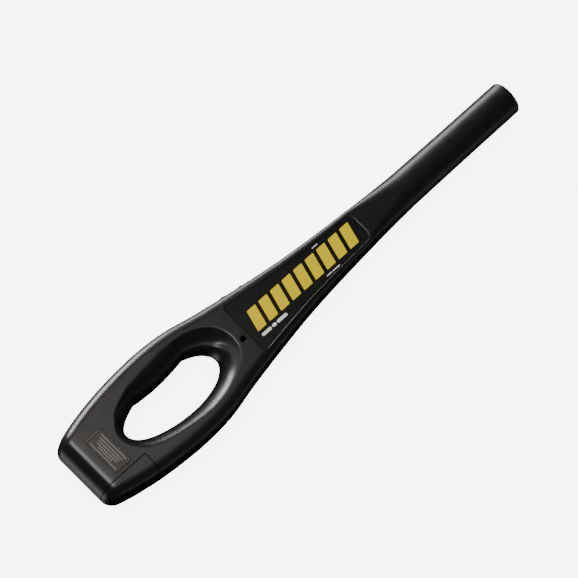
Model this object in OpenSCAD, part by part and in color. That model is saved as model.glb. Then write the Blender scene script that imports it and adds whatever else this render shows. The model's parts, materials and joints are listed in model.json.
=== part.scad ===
// Hand-held metal detecting wand: a flat two-shell body with a looped grip at the
// butt and a round search tube at the tip.
// Axes: +X runs from the butt to the tip, +Y points to the edge with the controls,
// +Z points out of the label face. The back face rests on z = 0 and the origin is
// under the middle of the length. Stations are distances from the butt end.

/* [Casing] */
// Length from the butt end to the tip
wand_length = 450; // [446:1:470]
// Thickness of the handle from back face to label face
handle_thickness = 36; // [35.5:0.5:38]
// Diameter of the round search tube
tube_diameter = 27.6; // [27.2:0.1:28]
// Wall of both shells
wall = 2.5; // [2.2:0.1:2.6]
// Radius of the edge round at the butt end
butt_round = 10; // [8:0.5:10.5]
// Radius of the butt corners in plan
butt_corner = 9; // [8:0.5:10]
// Radius of the edge round at the tip
tip_round = 3; // [2.8:0.1:4]

/* [Hand opening] */
// Length of the hand opening at its waist
opening_length = 93; // [88:1:96]
// Width of the hand opening at its waist
opening_width = 37.2; // [34:0.2:38]
// How far the finger swell stands into the opening
swell_height = 5.3; // [0:0.1:6]

/* [Battery end] */
// Length of the battery door
door_length = 43; // [42:0.5:44]
// Distance of the door seam from the centre line
door_seam = 20.8; // [20.5:0.1:21.5]
// Gap around the battery door
door_gap = 0.3; // [0.2:0.05:0.4]

/* [Controls] */
// Station of the power rocker
rocker_station = 184.6; // [182:0.2:187]
// Station of the indicator window
window_station = 208.7; // [208:0.1:210]
// Station of the earphone socket
socket_station = 160.8; // [160.4:0.2:161.4]
// Offset of the earphone socket from the centre line
socket_offset = -6; // [-8:0.5:-4]
// Radius of the earphone bore
socket_bore = 1.8; // [1.75:0.05:1.9]

/* [Hidden] */
$fn = 48;
mid = handle_thickness / 2;

// Half width of the outline: [station, half width]
OUTLINE = [[0, 27.6], [10, 31.6], [30, 36.2], [55, 39.8], [90, 41.7], [120, 39.8], [150, 33.6], [180, 28.1],
           [220, 21.9], [260, 17.8], [300, 15.1], [345, 14.4], [390, 14], [wand_length, 13.8]];
face_start = 162;
face_end = 292;
neck_end = 337;
THICKNESS = [[0, handle_thickness], [face_start, handle_thickness], [face_end, handle_thickness - 5.2],
             [neck_end, tube_diameter + 0.2], [wand_length, tube_diameter]];
CORNER = [[0, 9.5], [150, 9.5], [200, 6.5], [290, 4.5], [neck_end, tube_diameter / 2]];

// Screw bosses between the two shells: [station, offset]
BOSSES = [[42, 25], [50, -27.5], [143, 25], [143, -26], [292, 0]];
boss_radius = 3.2;
screw_radius = 1.45;
head_radius = 2.8;
head_depth = 9;

// Circuit board and the posts it stands on: [station, offset]
board_bottom = mid - 2.6;
board_thickness = 1.6;
board_top = board_bottom + board_thickness;
BOARD_POSTS = [[174, -16], [218, 8], [277, -5]];
post_radius = 2.5;
board_screw_radius = 1.1;

// Battery lying across the butt end
battery_station = 22;
battery_length = 46.4;
battery_width = 26.5;
battery_depth = 17.5;
battery_low = -25.4;
stud_height = 2.1;
stud_spacing = 12.7;
tray_wall = 1.2;

// Loudspeaker against the back shell
speaker_station = 238;
speaker_radius = 13;
speaker_bottom = 5.4;

// Vibration motor inside the grip
motor_station = 92;
motor_offset = 29;
motor_radius = 3.5;
motor_length = 11;
shaft_radius = 0.5;
running_gap = 0.05;

// Rocker switch, in the frame of the control edge
rocker_pivot = -5;
rocker_half = 10.3;
rocker_height = 4.3;
switch_bottom = -14;

// Search coils
coil_start = wand_length - 150;
former_radius = 8;
coil_radius = 9.2;
flange_radius = 9.5;

// ---------- curves of the casing ----------

function segment(s, i = 0) = (i >= len(OUTLINE) - 2 || s < OUTLINE[i + 1][0]) ? i : segment(s, i + 1);

function outline_slope(i) =
    let (a = OUTLINE[max(i - 1, 0)], b = OUTLINE[min(i + 1, len(OUTLINE) - 1)])
    (b[1] - a[1]) / (b[0] - a[0]);

function half_width(s) =
    let (i = segment(s), p = OUTLINE[i], q = OUTLINE[i + 1], h = q[0] - p[0], t = (s - p[0]) / h)
    (2 * t^3 - 3 * t^2 + 1) * p[1] + (t^3 - 2 * t^2 + t) * h * outline_slope(i)
    + (3 * t^2 - 2 * t^3) * q[1] + (t^3 - t^2) * h * outline_slope(i + 1);

function edge_angle(s) = atan(half_width(s + 0.5) - half_width(s - 0.5));

function half_thickness(s) = lookup(s, THICKNESS) / 2;

// Inset of a rounded end at distance d from the end face
function end_inset(d, r) = d >= r ? 0 : r - sqrt(r * r - (r - d) * (r - d));

function end_insets(s, inset, r) =
    end_inset(s - inset, r - inset) + end_inset(wand_length - inset - s, tip_round - inset);

// Half of the cross-section at station s, from the +Y edge over the face to the -Y edge
function half_ring(s, inset) =
    let (w = half_width(s) - inset - end_insets(s, inset, butt_corner),
         h = half_thickness(s) - inset - end_insets(s, inset, butt_round),
         r = min(lookup(s, CORNER) - inset, h - 0.1, w - 0.1))
    concat([[s, w, mid]],
           [for (a = [0:18:90]) [s, w - r + r * cos(a), mid + h - r + r * sin(a)]],
           [for (a = [90:18:180]) [s, r - w + r * cos(a), mid + h - r + r * sin(a)]],
           [[s, -w, mid]]);

function stations(inset) =
    concat([for (d = [0, 0.12, 0.4, 1]) inset + d * (butt_corner - inset)],
           [for (s = [18:12:face_start]) s],
           [for (s = [face_start + 13:13:face_end]) s],
           [for (s = [face_end + 9:9:neck_end]) s],
           [390],
           [for (d = [1, 0.4, 0]) wand_length - inset - d * (tip_round - inset)]);

// Closed skin over a stack of rings that all have the same number of points
module loft(rings) {
    n = len(rings[0]);
    last = (len(rings) - 1) * n;
    sides = [for (i = [0:len(rings) - 2], j = [0:n - 1])
        let (a = i * n + j, b = i * n + (j + 1) % n)
        each [[a, a + n, b], [b, a + n, b + n]]];
    polyhedron([for (ring = rings) each ring],
               concat([[for (j = [0:n - 1]) j]], sides, [[for (j = [n - 1:-1:0]) last + j]]));
}

module half_body(inset, s_end = 1000) {
    loft([for (s = stations(inset)) if (s <= s_end) half_ring(s, inset)]);
}

module from_butt() {
    translate([-wand_length / 2, 0, 0]) children();
}

module mirror_to_back() {
    translate([0, 0, handle_thickness]) mirror([0, 0, 1]) children();
}

// Frame on the control edge: x along the outline, y outwards, z = 0 at the shell seam
module on_edge(s) {
    translate([s, half_width(s), mid]) rotate([0, 0, edge_angle(s)]) children();
}

// ---------- hand opening ----------

opening_centre = 93.5;
opening_reach = opening_length / 2;

// Egg-shaped waist, fuller towards the tip
function waist(a) = [opening_centre + opening_reach * cos(a),
                     opening_width / 2 * sin(a) * (1 + 0.12 * cos(a))];

function waist_normal(a) =
    let (d = waist(a + 0.5) - waist(a - 0.5))
    [d[1], -d[0]] / norm(d);

// Flare from the waist to the face: longest at the tip end, shortest beside the grip
function flare(a) = 11.5 + 2.7 * cos(a) + 0.3 * sin(a) + 2.6 * cos(2 * a);

// Finger swell along the grip side
function swell(p) = p[1] > 0 ? swell_height * max(0, 1 - pow((p[0] - 95.7) / 26, 2)) : 0;

// Outline of the opening at height z above the seam
function opening_ring(z, extra) =
    let (u = min(1, max(0, z) / mid), g = 1 - sqrt(1 - u * u))
    [for (a = [0:9:351])
        let (p = waist(a), q = p + waist_normal(a) * (flare(a) * g + extra))
        [q[0], q[1] - swell(p) * (1 - g), mid + z]];

module half_opening(extra) {
    loft([for (u = [-0.03, 0, 0.3, 0.55, 0.75, 0.88, 0.96, 1, 1.05]) opening_ring(u * mid, extra)]);
}

// ---------- shells ----------

// Thickness of the opening's wall, measured square to its waist
opening_wall = wall + 0.5;
// Half width of a block that reaches past the outline
bay_reach = 60;
rail_start = 10;
rail_length = door_length - rail_start - 1;
rail_reach = 3.2;

// Space that the battery door takes up, grown by gap
module door_space(gap) {
    translate([-1, -bay_reach, -1]) cube([door_length + 1 + gap, bay_reach - door_seam + gap, handle_thickness + 2]);
}

// Boss with two gussets, standing from the seam into the face wall
module boss(place) {
    height = half_thickness(place[0]) - wall / 2;
    translate([place[0], place[1], mid]) {
        cylinder(r = boss_radius, h = height);
        for (side = [-1, 1]) hull() {
            translate([-0.6, side * 2, 6]) cube([1.2, 0.5, 0.5], center = true);
            translate([0, side * 3.2, height - 0.5]) cube([1.2, 5, 1], center = true);
            translate([0, side * 2, height - 0.5]) cube([1.2, 1, 1], center = true);
        }
    }
}

// Rail along the door seam, which carries the door's lip
module door_rail() {
    translate([rail_start, -door_seam - rail_reach, mid + 13]) cube([rail_length, rail_reach + 3, 2.1]);
    translate([rail_start, 0.1 - door_seam, mid + 13]) cube([rail_length, 2.9, 3.5]);
}

// Wall that closes the grip off from the battery bay
module bulkhead() {
    intersection() {
        half_body(1);
        translate([door_length + door_gap, -bay_reach, mid]) cube([1.8, bay_reach - 18, mid]);
    }
}

label_start = 166;
label_end = 291;
label_shift = 1;
label_recess = 0.8;
label_thickness = 0.6;
label_stations = [for (i = [0:8]) label_start + i * (label_end - label_start) / 8];

function label_half(s) = half_width(s) - 6.8 + 3.7 * (s - label_start) / (label_end - label_start);

function reverse(list) = [for (i = [len(list) - 1:-1:0]) list[i]];

module label_outline(grow = 0) {
    offset(delta = grow) offset(r = 3) offset(delta = -3)
        polygon(concat([for (s = label_stations) [s, label_half(s) - label_shift]],
                       [for (s = reverse(label_stations)) [s, -label_half(s) - label_shift]]));
}

// Frame of the sloping label face: z = 0 on the face, stations still measured along x
module on_label_face() {
    translate([face_start, 0, handle_thickness])
        rotate([0, atan(2.6 / (face_end - face_start)), 0])
            translate([-face_start, 0, 0]) children();
}

plate_start = 16;
plate_length = 16.2;
plate_low = -17.7;
plate_width = 33.1;
plate_recess = 0.6;
plate_thickness = 0.4;

module rounded_rectangle(size, r) {
    translate([r, 0]) square([size[0] - 2 * r, size[1]]);
    translate([0, r]) square([size[0], size[1] - 2 * r]);
    for (x = [r, size[0] - r], y = [r, size[1] - r]) translate([x, y]) circle(r);
}

// Openings through the control edge for the rocker switch and the window
module edge_cuts() {
    on_edge(rocker_station) cube([23.6, 8, 11.2], center = true);
    on_edge(window_station) cube([22.2, 8, 8.6], center = true);
}

// One shell without its own face details: the half above the seam
module shell_blank() {
    difference() {
        union() {
            difference() {
                half_body(0);
                difference() {
                    half_body(wall);
                    half_opening(opening_wall);
                }
            }
            for (place = BOSSES) boss(place);
            bulkhead();
            door_rail();
        }
        half_opening(0);
        difference() {
            door_space(door_gap);
            door_rail();
        }
        edge_cuts();
    }
}

module front_shell() {
    color([0.09, 0.085, 0.08]) from_butt() difference() {
        shell_blank();
        on_label_face() translate([0, 0, -label_recess]) linear_extrude(5) label_outline(0.15);
        translate([plate_start - 0.15, plate_low - 0.15, handle_thickness - plate_recess])
            linear_extrude(2) rounded_rectangle([plate_length + 0.3, plate_width + 0.3], 2);
        for (place = BOSSES) translate([place[0], place[1], mid - 1]) cylinder(r = screw_radius + 0.05, h = 10);
        translate([socket_station, socket_offset, mid]) cylinder(r = 2.75, h = mid + 1);
    }
}

// Low ring that locates the loudspeaker and the posts under the circuit board
module back_shell_ribs() {
    floor = 2;
    translate([speaker_station, 0, floor]) difference() {
        cylinder(r = speaker_radius + 1.3, h = 7);
        translate([0, 0, -1]) cylinder(r = speaker_radius + 0.2, h = 9);
    }
    for (place = BOARD_POSTS)
        translate([place[0], place[1], mid - half_thickness(place[0]) + 1]) difference() {
            cylinder(r = post_radius, h = half_thickness(place[0]) - 1 - mid + board_bottom);
            translate([0, 0, half_thickness(place[0]) - 1 - mid + board_bottom - 7])
                cylinder(r = board_screw_radius + 0.05, h = 8, $fn = 24);
        }
}

module back_shell() {
    color([0.08, 0.078, 0.075]) from_butt() difference() {
        union() {
            mirror_to_back() shell_blank();
            back_shell_ribs();
        }
        for (place = BOSSES) translate([place[0], place[1], -1]) {
            cylinder(r = head_radius + 0.2, h = mid - half_thickness(place[0]) + 1 + head_depth);
            cylinder(r = screw_radius + 0.15, h = mid + 2);
        }
        for (x = [-7, 0, 7], y = [-4, 4]) translate([speaker_station + x, y, -1]) cylinder(r = 1.1, h = 8, $fn = 16);
    }
}

module battery_door() {
    color([0.085, 0.08, 0.078]) from_butt() {
        for (back = [0, 1]) translate([0, 0, back * handle_thickness]) mirror([0, 0, back]) {
            difference() {
                intersection() {
                    half_body(0, 60);
                    translate([-1, -bay_reach, 0]) cube([door_length + 1, bay_reach - door_seam, handle_thickness]);
                }
                half_body(wall, 60);
            }
            translate([wall - 0.5, -door_seam - 4, mid + 10.7]) cube([door_length - wall - 0.5, 4, 2]);
        }
    }
}

// Pan-head screws that draw the back shell to the front shell
module housing_screws() {
    color([0.55, 0.55, 0.57]) from_butt()
        for (place = BOSSES) {
            seat = mid - half_thickness(place[0]) + head_depth;
            translate([place[0], place[1], seat]) {
                cylinder(r = screw_radius, h = mid + 8 - seat);
                translate([0, 0, -2]) difference() {
                    cylinder(r = head_radius, h = 2);
                    for (turn = [0, 90]) rotate([0, 0, turn]) cube([3.2, 0.7, 1.6], center = true);
                }
            }
        }
}

module name_label() {
    color([0.03, 0.03, 0.03]) from_butt() on_label_face()
        translate([0, 0, -label_recess]) linear_extrude(label_thickness) label_outline();
}

module rating_plate() {
    color([0.12, 0.115, 0.11]) from_butt()
        translate([plate_start, plate_low, handle_thickness - plate_recess])
            linear_extrude(plate_thickness) rounded_rectangle([plate_length, plate_width], 1.8);
}

// ---------- battery bay ----------

// Frame of the battery: x along the wand, y along the battery, z = 0 at the seam
module on_battery() {
    translate([battery_station, battery_low, mid]) children();
}

module battery_case() {
    color([0.15, 0.16, 0.2]) from_butt() on_battery()
        translate([-battery_width / 2, battery_length, -battery_depth / 2]) rotate([90, 0, 0])
            linear_extrude(battery_length) rounded_rectangle([battery_width, battery_depth], 2);
}

module battery_studs() {
    color([0.75, 0.73, 0.68]) from_butt() on_battery() translate([0, battery_length, 0]) rotate([-90, 0, 0]) {
        translate([-stud_spacing / 2, 0, 0]) cylinder(r = 2.8, h = stud_height);
        translate([stud_spacing / 2, 0, 0]) difference() {
            cylinder(r = 4, h = stud_height);
            translate([0, 0, 0.5]) cylinder(r = 2.9, h = stud_height);
        }
    }
}

module battery_tray() {
    inner = [battery_width + 0.6, 48, battery_depth + 0.6];
    color([0.1, 0.1, 0.1]) from_butt() translate([battery_station, -20, mid]) difference() {
        translate([-inner[0] / 2 - tray_wall, 0, -inner[2] / 2 - tray_wall])
            cube([inner[0] + 2 * tray_wall, 47.4, inner[2] + 2 * tray_wall]);
        translate([-inner[0] / 2, -1, -inner[2] / 2]) cube([inner[0], 1 + 46.2, inner[2]]);
        for (side = [-1, 1]) translate([side * stud_spacing / 2, 46, 0]) cube([1.6, 4, 4], center = true);
    }
}

plates_low = battery_low + battery_length + stud_height;

module contact_block() {
    color([0.5, 0.1, 0.08]) from_butt() translate([battery_station, plates_low + 0.4, mid])
        translate([-13, 0, -8.5]) cube([26, 2.6, 17]);
}

module contact_plates() {
    color([0.8, 0.78, 0.7]) from_butt() translate([battery_station, plates_low, mid])
        for (side = [-1, 1]) translate([side * stud_spacing / 2 - 4.2, 0, -4.5]) cube([8.4, 0.4, 9]);
}

// Foam block glued inside the door, which presses on the end of the battery
module door_pad() {
    color([0.25, 0.25, 0.26]) from_butt() translate([0, 0, mid - 6]) linear_extrude(12)
        polygon(concat([for (s = [15:5:30]) [s, wall - half_width(s) + 0.4]],
                       [[30, battery_low - 0.3], [15, battery_low - 0.3]]));
}

// ---------- rocker switch ----------

module switch_bezel() {
    color([0.07, 0.07, 0.07]) from_butt() on_edge(rocker_station) rotate([90, 0, 0]) difference() {
        union() {
            translate([0, 0, -0.9]) linear_extrude(0.75) translate([-13, -6.8]) rounded_rectangle([26, 13.6], 1.5);
            translate([-11.6, -5.4, -0.2]) cube([23.2, 10.8, 3.1]);
        }
        translate([-rocker_half, -rocker_height, -2]) cube([2 * rocker_half, 2 * rocker_height, 6]);
    }
}

module rocker_cap() {
    color([0.16, 0.16, 0.16]) from_butt() on_edge(rocker_station) difference() {
        translate([0, 0, -4]) linear_extrude(8)
            polygon([[-9, 2.6], [-4, 1.4], [0, 1.1], [4, 1.4], [9, 2.6], [9.7, -1.8], [2.2, -6.8], [1, -7],
                     [1, -10.4], [-1, -10.4], [-1, -7], [-2.2, -6.8], [-9.7, -1.8]]);
        translate([0, rocker_pivot, -5]) cylinder(r = 1 + running_gap, h = 10);
    }
}

module rocker_pin() {
    color([0.7, 0.7, 0.72]) from_butt() on_edge(rocker_station)
        translate([0, rocker_pivot, -6]) cylinder(r = 1, h = 12);
}

module switch_housing() {
    color([0.2, 0.2, 0.21]) from_butt() on_edge(rocker_station) difference() {
        translate([-11.6, switch_bottom, -6.4]) cube([23.2, -3 - switch_bottom, 12.8]);
        translate([-10.4, switch_bottom + 1.8, -4.4]) cube([20.8, 20, 8.8]);
        translate([0, rocker_pivot, -6.2]) cylinder(r = 1, h = 12.4);
    }
}

module switch_carriage() {
    color([0.75, 0.6, 0.3]) from_butt() on_edge(rocker_station) difference() {
        translate([-3.4, switch_bottom + 2, -3.8]) cube([6.8, 3.4, 7.6]);
        translate([-1.4, switch_bottom + 3.2, -5]) cube([2.8, 4, 10]);
    }
}

module switch_terminals() {
    color([0.8, 0.75, 0.6]) from_butt() on_edge(rocker_station)
        for (x = [-6, 0, 6]) translate([x, switch_bottom, 1]) rotate([90, 0, 0]) cylinder(r = 0.6, h = 2);
}

// ---------- indicator window and lamps ----------

module indicator_window() {
    color([0.3, 0.3, 0.32]) from_butt() on_edge(window_station)
        translate([-10.9, -2.2, -4.1]) cube([21.8, 2.25, 8.2]);
}

// Lamp lying along the outward normal of the window, number counted from the butt
module lamp(number) {
    on_edge(window_station) translate([6.5 * (number - 1), 0, 0.8]) {
        translate([0, -4.2, 0]) rotate([90, 0, 0]) cylinder(r = 1.5, h = 4);
        translate([0, -4.2, 0]) sphere(r = 1.5);
        translate([-1.2, -9, board_top - mid - 0.8]) cube([2.4, 0.9, 2.2]);
    }
}

module green_led() {
    color([0.2, 0.7, 0.25]) from_butt() lamp(0);
}

module amber_led() {
    color([0.9, 0.6, 0.1]) from_butt() lamp(1);
}

module red_led() {
    color([0.8, 0.1, 0.08]) from_butt() lamp(2);
}

// ---------- earphone socket ----------

socket_low = board_top + 4;
socket_top = handle_thickness - wall - 0.1;

module earphone_socket() {
    color([0.05, 0.05, 0.05]) from_butt() translate([socket_station, socket_offset, 0]) difference() {
        union() {
            translate([-4.2, -4.2, socket_low]) cube([8.4, 8.4, socket_top - socket_low]);
            cylinder(r = 2.6, h = handle_thickness - 0.5);
        }
        translate([0, 0, -1]) cylinder(r = 5, h = socket_low + 1);
        translate([0, 0, socket_low + 1]) cylinder(r = socket_bore, h = 30);
    }
}

module socket_terminals() {
    color([0.8, 0.75, 0.6]) from_butt() translate([socket_station, socket_offset, socket_low])
        for (place = [[-2.8, 0], [2.8, 2.5], [2.8, -2.5]])
            translate([place[0], place[1], -3]) cylinder(r = 0.5, h = 3);
}

// ---------- loudspeaker ----------

module speaker_gasket() {
    color([0.1, 0.1, 0.1]) from_butt() translate([speaker_station, 0, speaker_bottom - 1]) difference() {
        cylinder(r = speaker_radius, h = 1);
        translate([0, 0, -1]) cylinder(r = speaker_radius - 2, h = 3);
    }
}

module speaker_frame() {
    color([0.3, 0.3, 0.32]) from_butt() translate([speaker_station, 0, speaker_bottom]) difference() {
        cylinder(r = speaker_radius, h = 3.6);
        translate([0, 0, -1]) cylinder(r = speaker_radius - 1.5, h = 3.6);
        cylinder(r = 5.5, h = 5);
    }
}

// Paper cone hanging in the frame, open towards the sound holes
module speaker_cone() {
    color([0.2, 0.18, 0.15]) from_butt() translate([speaker_station, 0, speaker_bottom])
        rotate_extrude()
            polygon([[11.4, 0.2], [11.4, 0.8], [5, 2.3], [0, 2.3], [0, 1.7], [5, 1.7]]);
}

module speaker_magnet() {
    color([0.6, 0.6, 0.62]) from_butt() translate([speaker_station, 0, speaker_bottom + 2.5])
        cylinder(r = 5.4, h = 3.2);
}

// ---------- vibration motor ----------

module on_motor() {
    translate([motor_station, motor_offset, mid]) rotate([0, 90, 0]) children();
}

module motor_holder() {
    color([0.06, 0.06, 0.06]) from_butt() difference() {
        translate([motor_station + 1, motor_offset - 4.2, wall + 0.4]) cube([8, 8.4, mid + 4.6 - wall]);
        on_motor() cylinder(r = motor_radius, h = 20);
    }
}

module motor_can() {
    color([0.7, 0.7, 0.72]) from_butt() on_motor() difference() {
        cylinder(r = motor_radius, h = motor_length);
        translate([0, 0, 1]) cylinder(r = shaft_radius + running_gap, h = motor_length);
    }
}

module motor_shaft() {
    color([0.8, 0.8, 0.82]) from_butt() on_motor()
        translate([0, 0, 1.2]) cylinder(r = shaft_radius, h = motor_length + 5);
}

module motor_weight() {
    color([0.6, 0.58, 0.5]) from_butt() on_motor() translate([0, 0, motor_length + 1]) difference() {
        cylinder(r = 3, h = 4);
        translate([-4, 0, -1]) cube([3.2, 10, 6]);
        translate([-4, -10, -1]) cube([3.2, 20, 6]);
        translate([0, 0, -1]) cylinder(r = shaft_radius, h = 6);
    }
}

// ---------- circuit board ----------

module circuit_board() {
    color([0.05, 0.3, 0.15]) from_butt() translate([0, 0, board_bottom]) difference() {
        linear_extrude(board_thickness)
            polygon([[166, -22], [190, -20.5], [225, -16], [284, -10.5], [284, 10.5], [225, 14.5], [201, 17],
                     [201, 9.5], [166, 9.5]]);
        for (place = BOARD_POSTS) translate([place[0], place[1], -1])
            cylinder(r = board_screw_radius + 0.1, h = 4);
    }
}

module board_screws() {
    color([0.6, 0.6, 0.62]) from_butt()
        for (place = BOARD_POSTS) translate([place[0], place[1], board_bottom - 6]) {
            cylinder(r = board_screw_radius, h = 6 + board_thickness);
            translate([0, 0, 6 + board_thickness]) cylinder(r = 2.1, h = 1.5);
        }
}

// Block standing on the board: place is [station, offset], size is [x, y, z]
module on_board(place, size) {
    translate([place[0] - size[0] / 2, place[1] - size[1] / 2, board_top]) cube(size);
}

module control_chip() {
    color([0.08, 0.08, 0.09]) from_butt() on_board([240, 0], [12, 12, 2]);
}

module signal_chips() {
    color([0.08, 0.08, 0.09]) from_butt() for (place = [[206, -10], [206, 0], [259, 3]])
        on_board(place, [9.5, 5.5, 2.2]);
}

module capacitors() {
    color([0.12, 0.14, 0.3]) from_butt()
        for (can = [[190, -12, 4], [222, -10, 3], [254, -7, 2.5], [269, 4, 2.5]])
            translate([can[0], can[1], board_top]) cylinder(r = can[2], h = 2.4 * can[2]);
}

module resistors() {
    color([0.1, 0.1, 0.1]) from_butt() for (i = [0:5]) {
        on_board([196 + 3 * i, 5.5], [1.6, 3.2, 0.6]);
        on_board([247 + 4 * i, -3], [1.6, 2.4, 0.6]);
    }
}

module crystal() {
    color([0.8, 0.8, 0.8]) from_butt() on_board([239, 9.5], [10, 4, 3.5]);
}

module choke() {
    color([0.2, 0.2, 0.2]) from_butt() translate([228, 3, board_top]) difference() {
        cylinder(r = 4, h = 6);
        translate([0, 0, 3.2]) cylinder(r = 2, h = 3);
    }
}

trimmer_place = [178, 0];
trimmer_top = board_top + 4.5;

module trimmer_base() {
    color([0.15, 0.25, 0.55]) from_butt() difference() {
        on_board(trimmer_place, [7, 7, 4.5]);
        translate([trimmer_place[0], trimmer_place[1], trimmer_top - 2]) cylinder(r = 2 + running_gap, h = 4);
    }
}

module trimmer_rotor() {
    color([0.85, 0.8, 0.7]) from_butt() translate([trimmer_place[0], trimmer_place[1], trimmer_top - 1.95]) difference() {
        cylinder(r = 2, h = 2.4);
        translate([0, 0, 2.2]) cube([3.4, 0.6, 1.2], center = true);
    }
}

// White pin headers: battery and motor at the butt end, coils at the tip end
CONNECTORS = [[171, 6, 8], [171, -7, 8], [281, 5, 5]];

module board_connectors() {
    color([0.85, 0.85, 0.8]) from_butt() for (c = CONNECTORS) on_board([c[0], c[1]], [4, c[2] - 0.6, 4.5]);
}

// ---------- search coils ----------

module on_coil(s) {
    translate([s, 0, mid]) rotate([0, 90, 0]) children();
}

// Sleeve around the coil axis between two stations
module coil_sleeve(s_from, s_to, r_in, r_out) {
    on_coil(s_from) difference() {
        cylinder(r = r_out, h = s_to - s_from);
        translate([0, 0, -1]) cylinder(r = r_in, h = s_to - s_from + 2);
    }
}

former_end = wand_length - 9;
TRANSMIT_SPAN = [coil_start + 12, wand_length - 82];
RECEIVE_SPANS = [[wand_length - 78, wand_length - 50], [wand_length - 46, wand_length - 14]];

module coil_former() {
    color([0.8, 0.78, 0.7]) from_butt() {
        coil_sleeve(coil_start, former_end, 6.5, former_radius);
        for (s = [TRANSMIT_SPAN[0] - 2, wand_length - 81, wand_length - 49, former_end - 2])
            coil_sleeve(s, s + 2, former_radius - 0.5, flange_radius);
    }
}

module transmit_coil() {
    color([0.7, 0.35, 0.15]) from_butt()
        coil_sleeve(TRANSMIT_SPAN[0], TRANSMIT_SPAN[1], former_radius, coil_radius);
}

module receive_coils() {
    color([0.75, 0.4, 0.2]) from_butt()
        for (span = RECEIVE_SPANS) coil_sleeve(span[0], span[1], former_radius, coil_radius - 0.4);
}

module shield_sleeve() {
    color([0.6, 0.6, 0.6]) from_butt() coil_sleeve(coil_start + 8, former_end - 0.5, 9.6, 9.9);
}

module centring_rings() {
    color([0.2, 0.2, 0.22]) from_butt()
        for (s = [neck_end, wand_length - 62, wand_length - 16]) coil_sleeve(s, s + 5, 9.9, 11);
}

module tip_pad() {
    color([0.2, 0.2, 0.22]) from_butt() coil_sleeve(former_end, wand_length - 3, 3, 9.5);
}

// ---------- leads inside the casing ----------

// Smooth curve through the points of a route
function route_curve(p, steps = 4) =
    let (n = len(p) - 1)
    concat([for (i = [0:n - 1], k = [0:steps - 1])
        let (a = p[max(i - 1, 0)], b = p[i], c = p[i + 1], d = p[min(i + 2, n)], t = k / steps)
        0.5 * (2 * b + (c - a) * t + (2 * a - 5 * b + 4 * c - d) * t^2 + (3 * b - a - 3 * c + d) * t^3)],
        [p[n]]);

// Round lead beside a route, at a distance shift to its side
module lead(route, r, shift = 0, sides = 8) {
    p = route_curve(route);
    n = len(p) - 1;
    loft([for (i = [0:n])
        let (d = p[min(i + 1, n)] - p[max(i - 1, 0)], t = d / norm(d),
             side = cross(t, lead_up), u = side / norm(side), v = cross(t, u))
        [for (k = [0:sides - 1])
            p[i] + (shift + r * cos(360 * k / sides)) * u + r * sin(360 * k / sides) * v]]);
}

// Direction that no lead runs along, so that its side is always defined
lead_up = [0.3, 0.8, -0.5];

// Two leads side by side
module lead_pair(route, r = 0.5) {
    for (side = [-1, 1]) lead(route, r, side * (r + 0.12));
}

BATTERY_ROUTE = [[24, 28.3, 22], [32, 31, 22], [42, 32.5, 24], [65, 35.5, 26], [95, 36, 26], [120, 33.5, 26],
                 [143, 30, 26], [157, 24, 26], [166, 14, 25], [171, 6, 22.5]];
MOTOR_ROUTE = [[91.85, 29, 18], [90.4, 29, 18], [88, 29.5, 20], [87, 31, 25], [95, 32, 29], [120, 32, 28.6], [143, 29.8, 29],
               [155, 18, 30], [164, 4, 28], [171, -7, 22.5]];
SWITCH_ROUTE = [[182.5, 10.6, 19], [182.5, 8.2, 20.5], [183, 5.8, 19.8], [183.4, 4.9, 18.4], [183.4, 4.8, 17.2]];
SPEAKER_ROUTE = [[238, 7.5, 9.15], [238, 7.5, 10.2], [239, 9, 12], [236.5, 8.6, 13.8], [236, 8.5, 15.1]];
COIL_ROUTE = [[299.8, 7.2, 19], [298.4, 7.2, 19.1], [295, 7.5, 21], [290, 7, 23.5], [284, 5.5, 24.2], [281.2, 5, 23],
              [281, 5, 21.7]];

module battery_leads() {
    color([0.7, 0.1, 0.08]) from_butt() lead_pair(BATTERY_ROUTE);
}

module motor_leads() {
    color([0.15, 0.3, 0.7]) from_butt() lead_pair(MOTOR_ROUTE, 0.4);
}

module switch_leads() {
    color([0.8, 0.7, 0.2]) from_butt() for (x = [-3, 0, 3])
        lead([for (p = SWITCH_ROUTE) p + [x, 0, 0]], 0.4);
}

module speaker_leads() {
    color([0.1, 0.1, 0.1]) from_butt() lead_pair(SPEAKER_ROUTE, 0.4);
}

module coil_leads() {
    color([0.6, 0.6, 0.58]) from_butt() lead_pair(COIL_ROUTE);
}

front_shell();
back_shell();
battery_door();
housing_screws();
name_label();
rating_plate();
battery_case();
battery_studs();
battery_tray();
contact_block();
contact_plates();
door_pad();
switch_bezel();
rocker_cap();
rocker_pin();
switch_housing();
switch_carriage();
switch_terminals();
indicator_window();
green_led();
amber_led();
red_led();
earphone_socket();
socket_terminals();
speaker_gasket();
speaker_frame();
speaker_cone();
speaker_magnet();
motor_holder();
motor_can();
motor_shaft();
motor_weight();
circuit_board();
board_screws();
control_chip();
signal_chips();
capacitors();
resistors();
crystal();
choke();
trimmer_base();
trimmer_rotor();
board_connectors();
coil_former();
transmit_coil();
receive_coils();
shield_sleeve();
centring_rings();
tip_pad();
battery_leads();
motor_leads();
switch_leads();
speaker_leads();
coil_leads();
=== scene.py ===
import json
import math

import bmesh
import bpy
import numpy as np
from mathutils import Matrix, Vector


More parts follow.
